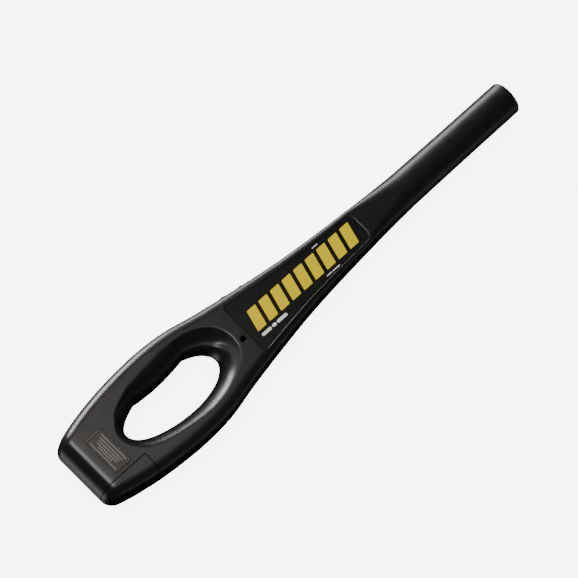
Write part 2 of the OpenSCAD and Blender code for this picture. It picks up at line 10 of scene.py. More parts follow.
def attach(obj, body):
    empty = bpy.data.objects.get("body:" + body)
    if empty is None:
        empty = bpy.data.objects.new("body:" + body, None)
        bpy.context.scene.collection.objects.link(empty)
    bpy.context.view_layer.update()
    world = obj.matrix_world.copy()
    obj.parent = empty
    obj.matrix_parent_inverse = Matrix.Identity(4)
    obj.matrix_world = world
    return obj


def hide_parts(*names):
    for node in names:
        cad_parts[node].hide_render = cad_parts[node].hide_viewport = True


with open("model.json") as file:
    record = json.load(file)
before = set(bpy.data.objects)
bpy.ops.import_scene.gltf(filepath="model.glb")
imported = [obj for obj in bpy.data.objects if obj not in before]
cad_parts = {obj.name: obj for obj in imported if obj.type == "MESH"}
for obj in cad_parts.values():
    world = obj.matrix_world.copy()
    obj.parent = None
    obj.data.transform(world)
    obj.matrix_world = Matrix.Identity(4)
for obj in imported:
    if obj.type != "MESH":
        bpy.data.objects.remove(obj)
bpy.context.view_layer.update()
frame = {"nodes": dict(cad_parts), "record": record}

# ---------------------------------------------------------------------------
# Driving dimensions, in millimetres. Stations run along the wand from the butt
# end; offsets are across it; heights are measured from the shells' seam.
# ---------------------------------------------------------------------------

LENGTH = 450.0
MID = 18.0  # half the handle's thickness, and the height of the seam
WALL = 2.5
OUTLINE = np.array([  # station, half width
    (0, 27.6), (10, 31.6), (30, 36.2), (55, 39.8), (90, 41.7), (120, 39.8), (150, 33.6), (180, 28.1),
    (220, 21.9), (260, 17.8), (300, 15.1), (345, 14.4), (390, 14), (LENGTH, 13.8)])
THICKNESS = np.array([(0, 36), (162, 36), (292, 30.8), (337, 27.8), (LENGTH, 27.6)])  # station, thickness
CORNER = np.array([(0, 9.5), (150, 9.5), (200, 6.5), (290, 4.5), (337, 13.8)])  # station, edge rounding
TIP_ROUND = 3.4

# Butt end: an arc in side view with a short flat at the seam, and its rounding towards the faces and the
# sides, which changes over a blend of this length
BUTT_RADIUS, BUTT_FLAT = 15.0, 3.6
BUTT_CREST, BUTT_CORNER, BUTT_BLEND = 2.2, 6.0, 12

# Hand opening: the waist at the seam, and the swell for the fingers (its centre, half length and height)
OPENING_CENTRE = 93.5
OPENING_REACH = 46.5
OPENING_HALF = 18.6
OPENING_SKEW = 0.12
SWELL = (95.7, 26.0, 5.3)

# Its rim. The valley's reach from the waist has terms in the angle round the opening, and is wider on the -Y
# side. At the tip end a ledge lies below the face, with a rounding of its own reach under it.
FLARE, FLARE_COS, FLARE_SIN, FLARE_COS2 = 11.5, 2.7, 0.3, 2.6
LOW_SIDE = 3.8
LEDGE_REACH, LEDGE_SIN, LEDGE_DROP = 5.2, 2.8, 7.5
CREST, SOFT_CREST = 0.14, 0.6  # easing where the valley meets the face: at the tip end, and added elsewhere

# Battery door, cut off by two straight seams, and the chamfer along every seam
DOOR_LENGTH = 43.0
DOOR_SEAM = 20.8
DOOR_GAP = 0.3
SEAM_ROUND = 0.36
SEAM_DEPTH = SEAM_ROUND * 0.7

# Control edge: stations of the rocker and the window, and half the length and height of their openings
ROCKER_STATION, ROCKER_OPENING = 184.6, (11.8, 5.6)
WINDOW_STATION, WINDOW_OPENING = 208.7, (11.1, 4.3)

# Rating plate: its corners and the floor of its recess
PLATE = (16.0, -17.7, 32.2, 15.4)
PLATE_FLOOR = MID - 0.6

# Holes and bosses, as station and offset
SOCKET = (160.8, -6.0)
BOSSES = [(42, 25), (50, -27.5), (143, 25), (143, -26), (292, 0)]
BOSS_RADIUS, SCREW_HOLE, SCREW_HEAD = 3.4, 1.5, 3.0
SOUND_HOLES = [(238 + x, y) for x in (-7, 0, 7) for y in (-4, 4)]
SOUND_HOLE = 1.1

# Label: the sloping face that it lies on, its ends, its shift to the -Y side, and the recess's floor and the
# film's sunk top as heights from that face
FACE_START, FACE_DROP, FACE_RUN = 162.0, 2.6, 130.0
LABEL_START, LABEL_END, LABEL_SHIFT = 166.0, 291.0, 1.0
LABEL_FLOOR, LABEL_TOP = -0.8, -0.35
INK = 0.05

# Spacing of the grid that the casing's skin is drawn on, and the half width that it covers
CELL = 0.8
GRID_HALF = 43


def to_metres(points):
    """Stations, offsets and heights in millimetres to the frame's own metres."""
    return (np.asarray(points, float) + (-LENGTH / 2, 0, MID)) / 1000


# ---------------------------------------------------------------------------
# The casing as a field: negative inside the material, near a distance in mm
# ---------------------------------------------------------------------------

def smoothstep(x):
    x = np.clip(x, 0, 1)
    return x * x * (3 - 2 * x)


def fade(x, start, end):
    """Smooth step from 0 at the start to 1 at the end."""
    return smoothstep((x - start) / (end - start))


def half_width(s):
    """Smooth curve through the outline's points."""
    xs, ys = OUTLINE[:, 0], OUTLINE[:, 1]
    slopes = np.empty(len(xs))
    slopes[1:-1] = (ys[2:] - ys[:-2]) / (xs[2:] - xs[:-2])
    slopes[0] = (ys[1] - ys[0]) / (xs[1] - xs[0])
    slopes[-1] = (ys[-1] - ys[-2]) / (xs[-1] - xs[-2])
    s = np.clip(s, 0, LENGTH)
    i = np.clip(np.searchsorted(xs, s, side="right") - 1, 0, len(xs) - 2)
    h = xs[i + 1] - xs[i]
    t = (s - xs[i]) / h
    return ((2 * t**3 - 3 * t**2 + 1) * ys[i] + (t**3 - 2 * t**2 + t) * h * slopes[i]
            + (3 * t**2 - 2 * t**3) * ys[i + 1] + (t**3 - t**2) * h * slopes[i + 1])


def half_thickness(s):
    return np.interp(s, THICKNESS[:, 0], THICKNESS[:, 1]) / 2


def back_face(s):
    """Height of the back face at one station."""
    return -float(half_thickness(np.float64(s)))


def round_max(a, b, radius):
    """Intersection of two fields with a rounded edge."""
    p, q = a + radius, b + radius
    return np.minimum(np.maximum(p, q), 0) + np.hypot(np.maximum(p, 0), np.maximum(q, 0)) - radius


def outer_field(s, y, z):
    """Casing without its hand opening: a rounded section, the butt end and the tip."""
    w = half_width(s)
    h = half_thickness(s)
    r = np.minimum(np.interp(s, CORNER[:, 0], CORNER[:, 1]), np.minimum(w, h) - 0.05)
    across, up = np.abs(y) - (w - r), np.abs(z) - (h - r)
    section = np.hypot(np.maximum(across, 0), np.maximum(up, 0)) + np.minimum(np.maximum(across, up), 0) - r
    end = np.hypot(np.maximum(BUTT_RADIUS - s, 0), np.maximum(np.abs(z) - BUTT_FLAT, 0)) - BUTT_RADIUS
    corner = BUTT_CREST + (BUTT_CORNER - BUTT_CREST) * smoothstep(0.5 + (across - up) / BUTT_BLEND)
    body = round_max(section, end, corner)
    return round_max(body, s - LENGTH, TIP_ROUND)


def waist(a):
    """Station and offset of the waist at the parameter a: 0 at the tip end, a quarter turn on the +Y side."""
    return (OPENING_CENTRE + OPENING_REACH * np.cos(a),
            OPENING_HALF * np.sin(a) * (1 + OPENING_SKEW * np.cos(a)))


def waist_distance(s, y):
    """Distance from the opening's waist in plan, positive in the material, and the angle of the nearest point."""
    a = np.arctan2(y / OPENING_HALF, (s - OPENING_CENTRE) / OPENING_REACH)
    for _ in range(12):  # Newton's method, in limited steps
        px, py = waist(a)
        dx, dy = px - s, py - y
        tx = -OPENING_REACH * np.sin(a)
        ty = OPENING_HALF * (np.cos(a) + OPENING_SKEW * np.cos(2 * a))
        nx = -OPENING_REACH * np.cos(a)
        ny = -OPENING_HALF * (np.sin(a) + 2 * OPENING_SKEW * np.sin(2 * a))
        slope = tx * tx + ty * ty + dx * nx + dy * ny
        a = a - np.clip((dx * tx + dy * ty) / np.maximum(slope, 40), -0.4, 0.4)
    px, py = waist(a)
    c = np.clip((s - OPENING_CENTRE) / OPENING_REACH, -1, 1)
    inside = (np.abs(s - OPENING_CENTRE) < OPENING_REACH) & (
        np.abs(y) < OPENING_HALF * np.sqrt(1 - c * c) * (1 + OPENING_SKEW * c))
    return np.where(inside, -1, 1) * np.hypot(px - s, py - y), np.arctan2(np.sin(a), np.cos(a))


def opening_field(s, y, z):
    """Positive in the hand opening: a rounded waist, a ledge above it at the tip end, and a valley up to a crest.

    Angles run from 0 at the tip end through 90 on the +Y side to 180 at the butt, and to -180 on the other side.
    """
    d, a = waist_distance(s, y)
    degrees = np.degrees(a)
    before_butt = 1 - fade(degrees, -130, -180)
    wide = LOW_SIDE * (fade(degrees, -35, -80) * before_butt)
    flare = FLARE + FLARE_COS * np.cos(a) + FLARE_SIN * np.sin(a) + FLARE_COS2 * np.cos(2 * a) + wide
    tip_side = 1 - fade(degrees, 85, 165)
    ledge = tip_side * fade(degrees, -40, 20)
    reach = flare + ledge * (LEDGE_REACH - LEDGE_SIN * np.sin(a) + wide - flare)
    drop = LEDGE_DROP * tip_side * fade(degrees, -45, 15) ** 2
    crest = CREST + SOFT_CREST * fade(np.abs(degrees), 45, 95)
    power = 2 - 0.35 * fade(degrees, 20, -30) * before_butt

    centre, half_length, height = SWELL
    u = np.clip(np.abs(z) / MID, 0, 1)
    d = d + height * np.clip(1 - ((s - centre) / half_length) ** 2, 0, 1) * (y > 0) * np.sqrt(1 - u * u)

    # The ledge climbs to the face along the valley, and the crest is rounded off
    t = np.clip((d - 0.9 * reach) / np.maximum(flare - 0.9 * reach, 1), 0, 1.4)
    climb = t * t * (1.9 - 0.9 * t)
    climb = np.minimum(climb, 1) - crest * np.maximum(1 - np.abs(climb - 1) / crest, 0) ** 2 / 4

    across = np.maximum(1 - d / reach, 0) ** power
    up = (np.abs(z) / (MID - drop * (1 - climb))) ** power
    return ((across + up) ** (1 / power) - 1) * reach


def casing_field(s, y, z):
    return np.maximum(outer_field(s, y, z), opening_field(s, y, z))


def field_gradient(field, p, step=0.05):
    g = np.empty_like(p)
    for axis in range(3):
        q0, q1 = p.copy(), p.copy()
        q0[:, axis] -= step
        q1[:, axis] += step
        g[:, axis] = (field(*q1.T) - field(*q0.T)) / (2 * step)
    return g


# ---------------------------------------------------------------------------
# Skin of a field, as even quads (a surface net), pulled exactly onto the field
# ---------------------------------------------------------------------------

def surface_net(field, low, high, cell):
    """Points and quads where the field is zero, on a grid between two corners."""
    axes = [np.arange(lo, hi + cell, cell) for lo, hi in zip(low, high)]
    values = field(*np.meshgrid(*axes, indexing="ij"))
    nx, ny, nz = (n - 1 for n in values.shape)
    offsets = [(i, j, k) for i in (0, 1) for j in (0, 1) for k in (0, 1)]
    corner = {o: values[o[0]:o[0] + nx, o[1]:o[1] + ny, o[2]:o[2] + nz] for o in offsets}
    inside = sum((corner[o] < 0).astype(np.int8) for o in offsets)
    active = (inside > 0) & (inside < 8)
    number = np.full(active.shape, -1)
    number[active] = np.arange(active.sum())
    total = np.zeros((int(active.sum()), 3))
    hits = np.zeros(len(total))
    for a in offsets:
        for b in offsets:
            if a < b and sum(abs(p - q) for p, q in zip(a, b)) == 1:
                va, vb = corner[a][active], corner[b][active]
                cross = (va < 0) != (vb < 0)
                t = np.where(cross, va / np.where(va == vb, 1, va - vb), 0)
                total += cross[:, None] * (np.array(a) + t[:, None] * (np.array(b) - np.array(a)))
                hits += cross
    points = np.argwhere(active) + total / hits[:, None]
    points = np.array(low) + points * cell
    quads = []
    for axis in range(3):
        v0 = values.take(range(values.shape[axis] - 1), axis=axis)
        v1 = values.take(range(1, values.shape[axis]), axis=axis)
        where = np.argwhere((v0 < 0) != (v1 < 0))
        e1, e2 = (np.eye(3, dtype=int)[(axis + n) % 3] for n in (1, 2))
        fits = ((where - e1 - e2) >= 0).all(axis=1) & (where < active.shape).all(axis=1)
        where = where[fits]
        flip = v0[tuple(where.T)] > 0
        ring = [number[tuple((where - o).T)] for o in (e1 + e2, e2, 0 * e1, e1)]
        quad = np.stack(ring, axis=1)
        quad[flip] = quad[flip][:, ::-1]
        quads.append(quad[(quad >= 0).all(axis=1)])
    points = pull_onto(field, points, cell)
    return points, np.concatenate(quads)


def pull_onto(field, points, cell):
    """Moves the points along the field's gradient to where it is zero."""
    for _ in range(4):
        g = field_gradient(field, points)
        f = field(*points.T)
        step = f[:, None] * g / np.maximum((g * g).sum(axis=1), 0.05)[:, None]
        size = np.linalg.norm(step, axis=1)[:, None]
        points = points - step * np.minimum(1, 0.5 * cell / np.maximum(size, 1e-9))
    return points


# ---------------------------------------------------------------------------
# Mesh helpers
# ---------------------------------------------------------------------------

def mesh_object(name, points, faces):
    mesh = bpy.data.meshes.new(name)
    mesh.from_pydata([tuple(p) for p in points], [], [tuple(int(i) for i in f) for f in faces])
    mesh.validate()
    mesh.update()
    obj = bpy.data.objects.new(name, mesh)
    bpy.context.scene.collection.objects.link(obj)
    return obj


def smooth(obj, degrees=35):
    mesh = obj.data
    mesh.shade_smooth()
    mesh.set_sharp_from_angle(angle=math.radians(degrees))


def apply_modifiers(obj):
    graph = bpy.context.evaluated_depsgraph_get()
    mesh = bpy.data.meshes.new_from_object(obj.evaluated_get(graph))
    obj.modifiers.clear()
    obj.data = mesh


def box_parts(low, high):
    """Eight corners and six faces of a box."""
    (x0, y0, z0), (x1, y1, z1) = low, high
    points = [(x0, y0, z0), (x1, y0, z0), (x1, y1, z0), (x0, y1, z0),
              (x0, y0, z1), (x1, y0, z1), (x1, y1, z1), (x0, y1, z1)]
    faces = [(0, 3, 2, 1), (4, 5, 6, 7), (0, 1, 5, 4), (1, 2, 6, 5), (2, 3, 7, 6), (3, 0, 4, 7)]
    return points, faces


def prism_parts(outline, low, high):
    """Closed prism over an outline that runs anticlockwise."""
    n = len(outline)
    points = [(x, y, low) for x, y in outline] + [(x, y, high) for x, y in outline]
    faces = [tuple(range(n))[::-1], tuple(range(n, 2 * n))]
    faces += [(i, (i + 1) % n, n + (i + 1) % n, n + i) for i in range(n)]
    return points, faces


def circle_outline(radius, count, centre):
    return [(centre[0] + radius * math.cos(2 * math.pi * i / count),
             centre[1] + radius * math.sin(2 * math.pi * i / count)) for i in range(count)]


def cone_part(centre, radii, heights, count=40):
    """Closed turned part: rings of the given radii at the given heights."""
    points = []
    for radius, height in zip(radii, heights):
        points += [(x, y, height) for x, y in circle_outline(radius, count, centre)]
    faces = [tuple(range(count))[::-1], tuple(range(len(points) - count, len(points)))]
    for ring in range(len(radii) - 1):
        base = ring * count
        faces += [(base + i, base + (i + 1) % count, base + count + (i + 1) % count, base + count + i)
                  for i in range(count)]
    return points, faces


def rounded_outline(x0, y0, x1, y1, radius):
    """Rectangle with rounded corners, anticlockwise."""
    steps = 6
    points = []
    for cx, cy, start in ((x1 - radius, y1 - radius, 0), (x0 + radius, y1 - radius, 90),
                          (x0 + radius, y0 + radius, 180), (x1 - radius, y0 + radius, 270)):
        for i in range(steps + 1):
            a = math.radians(start + 90 * i / steps)
            points.append((cx + radius * math.cos(a), cy + radius * math.sin(a)))
    return points


def join_parts(parts):
    points, faces = [], []
    for part_points, part_faces in parts:
        base = len(points)
        points += [tuple(p) for p in part_points]
        faces += [tuple(base + i for i in f) for f in part_faces]
    return points, faces


def moved(part, matrix):
    points, faces = part
    return [tuple(matrix @ Vector(p)) for p in points], faces


# ---------------------------------------------------------------------------
# Shells and battery door, cut from one skin
# ---------------------------------------------------------------------------

def cut(bm, point, normal, pick):
    """Splits the faces that pick accepts along a plane."""
    faces = [f for f in bm.faces if pick(f.calc_center_median())]
    verts = {v for f in faces for v in f.verts}
    edges = {e for f in faces for e in f.edges}
    bmesh.ops.bisect_plane(bm, geom=list(verts) + list(edges) + faces, plane_co=point, plane_no=normal, dist=1e-5)


def casing_skin():
    """The half of the skin above the seam, cut along the seam and the door's edges."""
    low, high = (-2 * CELL, -GRID_HALF, -2.5 * CELL), (LENGTH + 2 * CELL, GRID_HALF, MID + CELL)
    points, quads = surface_net(casing_field, low, high, CELL)
    bm = bmesh.new()
    verts = [bm.verts.new(p) for p in points]
    for quad in quads:
        bm.faces.new([verts[i] for i in quad])
    for height in (0.0, SEAM_ROUND):
        cut(bm, (0, 0, height), (0, 0, 1), lambda c: abs(c.z) < 3 * CELL)
    bmesh.ops.delete(bm, geom=[f for f in bm.faces if f.calc_center_median().z < 0], context="FACES")
    near_door = DOOR_LENGTH + 4
    for offset in (0, DOOR_GAP, -SEAM_ROUND, DOOR_GAP + SEAM_ROUND):
        cut(bm, (0, offset - DOOR_SEAM, 0), (0, 1, 0), lambda c: c.x < near_door)
    for offset in (0, DOOR_GAP, -SEAM_ROUND, DOOR_GAP + SEAM_ROUND):
        cut(bm, (DOOR_LENGTH + offset, 0, 0), (1, 0, 0), lambda c: c.y < 2 - DOOR_SEAM)
    bmesh.ops.remove_doubles(bm, verts=bm.verts, dist=1e-4)
    return bm


def skin_region(bm, keep):
    """Points and faces of the part of the skin that keep accepts."""
    faces = [f for f in bm.faces if keep(f.calc_center_median())]
    number = {}
    for f in faces:
        for v in f.verts:
            number.setdefault(v, len(number))
    points = np.array([v.co for v in number])
    return points, [[number[v] for v in f.verts] for f in faces]


def thick_part(points, faces, wall):
    """Closed wall under a skin: the skin, its offset and a rim along the cut edges."""
    normals = field_gradient(casing_field, points, 0.2)
    uses = {}
    for f in faces:
        for a, b in zip(f, f[1:] + f[:1]):
            uses.setdefault((min(a, b), max(a, b)), []).append((a, b))
    rim = [pairs[0] for pairs in uses.values() if len(pairs) == 1]
    edge = np.zeros(len(points), bool)
    for a, b in rim:
        edge[a] = edge[b] = True
    seams = ((2, 0), (1, -DOOR_SEAM), (1, DOOR_GAP - DOOR_SEAM), (0, DOOR_LENGTH), (0, DOOR_LENGTH + DOOR_GAP))
    for axis, value in seams:
        on_plane = edge & (np.abs(points[:, axis] - value) < 0.01)
        normals[on_plane, axis] = 0
    normals /= np.maximum(np.linalg.norm(normals, axis=1), 1e-6)[:, None]
    skin = points - normals * (edge * SEAM_DEPTH)[:, None]
    inner = points - normals * wall
    n = len(points)
    solid = [list(f) for f in faces] + [[n + i for i in reversed(f)] for f in faces]
    solid += [[b, a, n + a, n + b] for a, b in rim]
    return np.concatenate([skin, inner]), solid


def mirrored(part):
    """The same part below the seam."""
    points, faces = part
    return np.array(points) * (1, 1, -1), [list(reversed(f)) for f in faces]


def in_door(c):
    return c.x < DOOR_LENGTH and c.y < -DOOR_SEAM


def in_shell(c):
    return c.x > DOOR_LENGTH + DOOR_GAP or c.y > DOOR_GAP - DOOR_SEAM


# Near the battery bay: the rails under the face and the bulkhead on both shells, and the door's lip
RAIL_START, RAIL_END = 10, 42
BULKHEAD = [(-36.5, 0.05), (-18, 0.05), (-18, 15.8), (-32, 15.8), (-35.2, 12.5), (-36.5, 9)]  # offset, height
ALONG = Matrix(((0, 0, 1, 0), (1, 0, 0, 0), (0, 1, 0, 0), (0, 0, 0, 1)))  # turns a prism to run along the wand
BAY_PARTS = [
    box_parts((RAIL_START, -24, 13), (RAIL_END, -18, 15.1)),
    box_parts((RAIL_START, -20.4, 15), (RAIL_END, -18, 15.8)),
    moved(prism_parts(BULKHEAD, 43.4, 45.2), ALONG),
]
LIP_PART = box_parts((5.4, -24.8, 10.7), (42.5, -20.9, 12.7))

skin = casing_skin()
shell_half = thick_part(*skin_region(skin, in_shell), WALL)
door_half = thick_part(*skin_region(skin, in_door), WALL)
skin.free()


def shell_object(name, back):
    """Uncut shell with its screw bosses, above the seam or mirrored below it."""
    bosses = [cone_part(p, (BOSS_RADIUS, BOSS_RADIUS), (0.05, -back_face(p[0]) - WALL - 0.02)) for p in BOSSES]
    points, faces = join_parts([shell_half] + BAY_PARTS + bosses)
    if back:
        points, faces = mirrored((points, faces))
    return mesh_object(name, to_metres(points), faces)


# ---------------------------------------------------------------------------
# Cuts in the shells
# ---------------------------------------------------------------------------

def edge_frame(station):
    """Frame on the control edge: x along the outline, y outwards, z up from the seam."""
    w = float(half_width(np.float64(station)))
    slope = float(half_width(np.float64(station + 0.5)) - half_width(np.float64(station - 0.5)))
    return Matrix.Translation((station, w, 0)) @ Matrix.Rotation(math.atan(slope), 4, "Z")


# Frame of the sloping label face: heights from the face itself, stations as before
FACE_FRAME = (Matrix.Translation((FACE_START, 0, MID)) @ Matrix.Rotation(math.atan(FACE_DROP / FACE_RUN), 4, "Y")
              @ Matrix.Translation((-FACE_START, 0, 0)))


def label_half(s):
    """Half width of the label, which follows the outline and comes nearer to it towards the tip."""
    return half_width(s) - 6.8 + 3.7 * (s - LABEL_START) / (LABEL_END - LABEL_START)


def label_outline(grow):
    """Tapered panel with hollow long edges and rounded corners, anticlockwise."""
    s0, s1 = LABEL_START - grow, LABEL_END + grow
    stations = np.linspace(s0, s1, 60)
    halves = label_half(stations) + grow
    for corner, radius in ((s0, 3.0), (s1, 5.0)):
        t = np.clip(1 - np.abs(stations - corner) / radius, 0, 1)
        halves = halves - radius * (1 - np.sqrt(1 - t * t))
    upper = list(zip(stations, halves - LABEL_SHIFT))
    lower = list(zip(stations, -halves - LABEL_SHIFT))
    return lower + upper[::-1]


def edge_cut_parts():
    """Openings in the control edge for the rocker switch and the window."""
    return [moved(box_parts((-half_x, -4, -half_z), (half_x, 4, half_z)), edge_frame(station))
            for station, (half_x, half_z) in ((ROCKER_STATION, ROCKER_OPENING), (WINDOW_STATION, WINDOW_OPENING))]


def cut_shell(obj, parts):
    """Takes the parts out of a shell."""
    points, faces = join_parts(parts)
    cutter = mesh_object(obj.name + "_cutter", to_metres(points), faces)
    modifier = obj.modifiers.new("cuts", "BOOLEAN")
    modifier.operation = "DIFFERENCE"
    modifier.solver = "EXACT"
    modifier.object = cutter
    apply_modifiers(obj)
    bpy.data.objects.remove(cutter)


def plate_outline(grow, corner):
    x0, y0, x1, y1 = PLATE
    return rounded_outline(x0 - grow, y0 - grow, x1 + grow, y1 + grow, corner)


def front_cut_parts():
    """Recesses for the label and the plate, the socket's hole with its flared mouth, and the screws' holes."""
    return [moved(prism_parts(label_outline(0.2), LABEL_FLOOR, 5), FACE_FRAME),
            prism_parts(plate_outline(0.35, 2.2), PLATE_FLOOR, MID + 2),
            cone_part(SOCKET, (2.7, 2.7, 3.1, 3.6), (MID - 5, MID - 0.45, MID - 0.08, MID + 0.3)),
            *[cone_part(p, (SCREW_HOLE, SCREW_HOLE), (-0.5, 9), 20) for p in BOSSES]]


def back_cut_parts():
    """Counterbores for the screws, chamfered at the face, and the sound holes."""
    parts = []
    for place in BOSSES:
        face = back_face(place[0])
        shoulder = face + 9
        parts.append(cone_part(place, (3.6, 3.15, SCREW_HEAD, SCREW_HEAD, SCREW_HOLE, SCREW_HOLE),
                               (face - 0.4, face + 0.25, face + 0.5, shoulder, shoulder, 0.5)))
    for place in SOUND_HOLES:
        face = back_face(place[0])
        parts.append(cone_part(place, (1.3, SOUND_HOLE, SOUND_HOLE), (face - 0.4, face + 0.3, -12), 20))
    return parts


front = shell_object("front_casing", back=False)
cut_shell(front, edge_cut_parts() + front_cut_parts())
back = shell_object("back_casing", back=True)
cut_shell(back, edge_cut_parts() + back_cut_parts())
for shell in (front, back):
    smooth(shell)

door_parts = join_parts([door_half, LIP_PART])
door_points, door_faces = join_parts([door_parts, mirrored(door_parts)])
door = mesh_object("battery_door_cover", to_metres(door_points), door_faces)
smooth(door)

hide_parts("front_shell")
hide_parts("back_shell")
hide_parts("battery_door")
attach(front, "wand_body")
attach(back, "wand_body")
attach(door, "battery_door_body")

# ---------------------------------------------------------------------------
# Materials: moulded grain, mottled colour and uneven gloss, from noise in the
# object's own space. Sizes are in millimetres.
# ---------------------------------------------------------------------------

class Look:
    """A procedural material on a Principled shader, built up one feature at a time."""

    def __init__(self, name, roughness, metallic=0.0, specular=0.5):
        self.material = bpy.data.materials.new(name)
        self.material.use_nodes = True
        self.tree = self.material.node_tree
        self.shader = self.tree.nodes["Principled BSDF"]
        self.shader.inputs["Metallic"].default_value = metallic
        self.shader.inputs["Specular IOR Level"].default_value = specular
        self.shader.inputs["Roughness"].default_value = roughness
        self.coordinates = self.add("ShaderNodeTexCoord").outputs["Object"]
        self.normal = None

    def add(self, kind, **values):
        node = self.tree.nodes.new(kind)
        for key, value in values.items():
            setattr(node, key, value)
        return node

    def link(self, output, target):
        self.tree.links.new(output, target)

    def stretched(self, factors):
        mapping = self.add("ShaderNodeMapping")
        mapping.inputs["Scale"].default_value = factors
        self.link(self.coordinates, mapping.inputs["Vector"])
        return mapping.outputs["Vector"]

    def noise(self, size, detail=2.0, stretch=None, distortion=0.0):
        texture = self.add("ShaderNodeTexNoise")
        texture.inputs["Scale"].default_value = 1000 / size
        texture.inputs["Detail"].default_value = detail
        texture.inputs["Distortion"].default_value = distortion
        self.link(self.stretched(stretch) if stretch else self.coordinates, texture.inputs["Vector"])
        return texture.outputs["Fac"]

    def cells(self, size, feature="F1"):
        texture = self.add("ShaderNodeTexVoronoi", feature=feature)
        texture.inputs["Scale"].default_value = 1000 / size
        self.link(self.coordinates, texture.inputs["Vector"])
        return texture.outputs["Distance"]

    def bands(self, pitch):
        """Even bands across the wand, one to each pitch."""
        texture = self.add("ShaderNodeTexWave", bands_direction="X")
        texture.inputs["Scale"].default_value = 100 * math.pi / pitch
        texture.inputs["Distortion"].default_value = 0
        self.link(self.coordinates, texture.inputs["Vector"])
        return texture.outputs["Fac"]

    def spread(self, source, low, high, start=0.3, end=0.7):
        """Maps a texture to the range low..high."""
        node = self.add("ShaderNodeMapRange")
        for key, value in (("From Min", start), ("From Max", end), ("To Min", low), ("To Max", high)):
            node.inputs[key].default_value = value
        self.link(source, node.inputs["Value"])
        return node.outputs["Result"]

    def colours(self, source, dark, light, start=0.3, end=0.7):
        ramp = self.add("ShaderNodeValToRGB")
        for element, colour, place in zip(ramp.color_ramp.elements, (dark, light), (start, end)):
            element.position = place
            element.color = (*colour, 1)
        self.link(source, ramp.inputs["Fac"])
        return ramp.outputs["Color"]

    def layered(self, source, under, over):
        """Lays one colour over another where source is high."""
        mix = self.add("ShaderNodeMix", data_type="RGBA")
        self.link(source, mix.inputs[0])
        self.link(under, mix.inputs[6])
        self.link(over, mix.inputs[7])
        return mix.outputs[2]

    def colour_from(self, output):
        self.link(output, self.shader.inputs["Base Color"])

    def roughness_from(self, output):
        self.link(output, self.shader.inputs["Roughness"])

    def bump(self, source, depth):
        node = self.add("ShaderNodeBump")
        node.inputs["Distance"].default_value = depth / 1000
        self.link(source, node.inputs["Height"])
        if self.normal:
            self.link(self.normal, node.inputs["Normal"])
        self.normal = node.outputs["Normal"]
        self.link(self.normal, self.shader.inputs["Normal"])


def shades(colour, amount):
    """A darker and a lighter shade of a colour."""
    return tuple(c * (1 - amount) for c in colour), tuple(min(1.0, c * (1 + amount)) for c in colour)


def moulded(name, colour, roughness=0.45, grain=0.5, depth=0.012, mottle=0.15, gloss=0.07, specular=0.5):
    """Moulded plastic: fine grain, slight mottling and patches of different gloss."""
    look = Look(name, roughness, specular=specular)
    look.colour_from(look.colours(look.noise(7, 4), *shades(colour, mottle)))
    look.roughness_from(look.spread(look.noise(11, 5, distortion=0.6), roughness - gloss, roughness + gloss))
    look.bump(look.noise(grain, 2), depth)
    look.bump(look.noise(grain * 4, 2), depth * 0.8)
    return look.material


def metal(name, colour, roughness=0.3, brush=(1, 1, 14), size=1.2, depth=0.004):
    """Plated or drawn metal: fine lines along one direction, with tarnish patches."""
    look = Look(name, roughness, metallic=1.0)
    look.colour_from(look.colours(look.noise(4, 5), *shades(colour, 0.12)))
    lines = look.noise(size, 3, stretch=brush)
    look.roughness_from(look.spread(lines, roughness - 0.08, roughness + 0.12))
    look.bump(lines, depth)
    return look.material


def soft(name, colour, cell, depth, roughness=0.85):
    """Foam or rubber: small cells in the surface, with painted shade darkening each cell's hollow and a lighter rim,
    over patchy roughness.
    """
    look = Look(name, roughness)
    cells = look.cells(cell)
    # Colour follows the cells' relief: painted shade in each hollow, lighter towards the rims.
    look.colour_from(look.colours(cells, *shades(colour, 0.3), start=0.1, end=0.6))
    look.roughness_from(look.spread(look.noise(3, 3), roughness - 0.08, roughness + 0.08))
    look.bump(cells, depth)
    return look.material


def clear(name, colour, roughness, transmission):
    """Tinted clear plastic with a faint flow pattern."""
    look = Look(name, roughness)
    look.shader.inputs["Transmission Weight"].default_value = transmission
    look.shader.inputs["IOR"].default_value = 1.49
    look.colour_from(look.colours(look.noise(5, 3, distortion=1.5), *shades(colour, 0.12)))
    look.roughness_from(look.spread(look.noise(6, 4), roughness - 0.03, roughness + 0.05))
    look.bump(look.noise(4, 2, distortion=1.0), 0.004)
    return look.material


def printed(name, colour, roughness, specular=0.5):
    """Screen ink with a fine mesh in its surface."""
    look = Look(name, roughness, specular=specular)
    look.colour_from(look.colours(look.noise(2.5, 4), *shades(colour, 0.06)))
    look.roughness_from(look.spread(look.noise(5, 4), roughness - 0.06, roughness + 0.08))
    look.bump(look.noise(0.35, 2), 0.004)
    return look.material


def wound(name, colour):
    """Enamelled wire wound in close turns along the tube, with a painted highlight along each turn's crown and
    painted shade in the grooves between turns.
    """
    look = Look(name, 0.3, metallic=0.85)
    turns = look.bands(0.5)
    # Colour follows the turns' relief: painted highlight on the crowns, painted shade in the grooves.
    look.colour_from(look.colours(turns, *shades(colour, 0.35), start=0.1, end=0.9))
    look.roughness_from(look.spread(look.noise(3, 3), 0.22, 0.4))
    look.bump(turns, 0.12)
    return look.material


